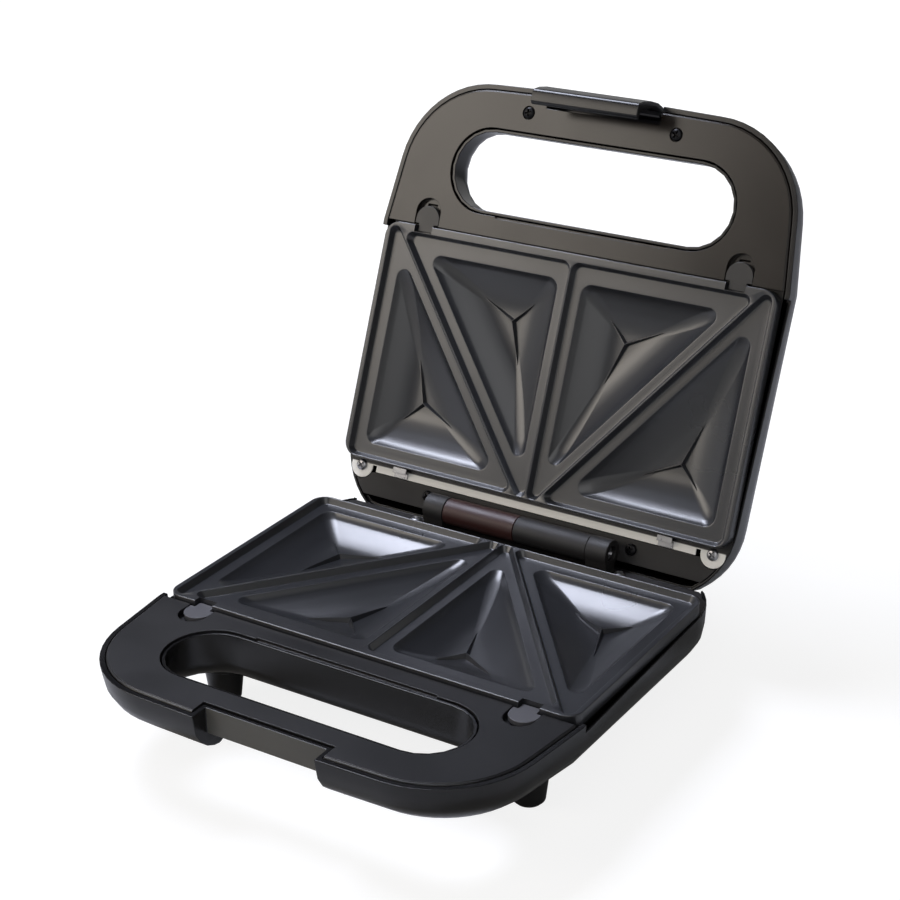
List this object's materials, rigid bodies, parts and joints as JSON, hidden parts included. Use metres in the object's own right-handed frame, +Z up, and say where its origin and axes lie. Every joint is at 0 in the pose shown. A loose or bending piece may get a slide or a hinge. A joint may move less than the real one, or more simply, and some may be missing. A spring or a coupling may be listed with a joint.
{
  "type": "sandwich toaster",
  "caption": "Black sandwich toaster with a hinged lid, hook latch, hand slots and removable non-stick plates with triangular pockets.",
  "frame": {"origin": "middle of the open toaster's footprint, on the table under the foot pads", "axes": "+X to the right as seen from the handle, +Y from the handle towards the hinge, +Z up"},
  "size_m": [0.2306, 0.3193, 0.2615],
  "materials": {
    "black_plastic": "moulded black housing plastic, satin gloss",
    "cover_plastic": "moulded black plastic with a fine satin grain",
    "button_grey": "moulded grey plastic",
    "nonstick": "cast aluminium with a fine speckled dark grey non-stick coat",
    "reflector_sheet": "pressed bright aluminium sheet",
    "steel": "zinc plated steel",
    "black_steel": "blackened steel screw",
    "element_sheath": "heat-tinted steel sheath",
    "rubber": "soft non-slip rubber",
    "ceramic": "unglazed white ceramic",
    "lens_red": "clear red plastic",
    "lens_green": "clear green plastic",
    "lamp_glass": "small neon lamp glass"
  },
  "bodies": {
    "base": {"base_shell": "black_plastic", "base_cover": "cover_plastic", "base_cover_screws": "steel", "base_plate": "nonstick", "base_plate_clips": "steel", "base_reflector": "reflector_sheet", "base_reflector_screws": "steel", "base_element": "element_sheath", "base_element_clips": "steel", "base_rear_deck": "cover_plastic", "base_deck_screws": "steel", "hinge_pins": "steel", "feet": "black_plastic", "foot_pads": "rubber", "foot_screws": "steel", "terminal_block": "ceramic", "thermostat": "steel", "thermal_fuse": "ceramic", "cord_inlet": "rubber", "base_button_spring_left": "steel", "base_button_spring_right": "steel"},
    "lid": {"lid_shell": "black_plastic", "lid_cover": "cover_plastic", "lid_cover_screws": "black_steel", "lid_plate": "nonstick", "lid_plate_clips": "steel", "lid_reflector": "reflector_sheet", "lid_reflector_screws": "steel", "lid_element": "element_sheath", "lid_element_clips": "steel", "lid_rear_deck": "cover_plastic", "lid_deck_screws": "black_steel", "hinge_sleeve_left": "cover_plastic", "hinge_sleeve_right": "cover_plastic", "power_lens": "lens_red", "ready_lens": "lens_green", "indicator_lamps": "lamp_glass", "lid_button_spring_left": "steel", "lid_button_spring_right": "steel", "latch_pin": "steel"},
    "latch": {"latch": "black_plastic"},
    "base_button_left": {"base_button_left": "button_grey"},
    "base_button_right": {"base_button_right": "button_grey"},
    "lid_button_left": {"lid_button_left": "cover_plastic"},
    "lid_button_right": {"lid_button_right": "cover_plastic"}
  },
  "joints": [
    {"name": "lid_hinge", "type": "hinge", "parent": "base", "child": "lid", "pos_m": [0, 0.05871, 0.0546], "axis": [1, 0, 0], "range_deg": [0, 112.5]},
    {"name": "latch_swing", "type": "hinge", "parent": "lid", "child": "latch", "pos_m": [0, 0.14817, 0.24993], "axis": [-1, 0, 0], "range_deg": [0, 75]},
    {"name": "base_button_left_slide", "type": "slide", "parent": "base", "child": "base_button_left", "axis": [0, -1, 0], "range_m": [0, 0.0035], "stiffness_N_per_m": 900, "springref_m": -0.001, "deforming": ["base_button_spring_left"]},
    {"name": "base_button_right_slide", "type": "slide", "parent": "base", "child": "base_button_right", "axis": [0, -1, 0], "range_m": [0, 0.0035], "stiffness_N_per_m": 900, "springref_m": -0.001, "deforming": ["base_button_spring_right"]},
    {"name": "lid_button_left_slide", "type": "slide", "parent": "lid", "child": "lid_button_left", "axis": [0, 0.3827, 0.9239], "range_m": [0, 0.0035], "stiffness_N_per_m": 900, "springref_m": -0.001, "deforming": ["lid_button_spring_left"]},
    {"name": "lid_button_right_slide", "type": "slide", "parent": "lid", "child": "lid_button_right", "axis": [0, 0.3827, 0.9239], "range_m": [0, 0.0035], "stiffness_N_per_m": 900, "springref_m": -0.001, "deforming": ["lid_button_spring_right"]}
  ]
}
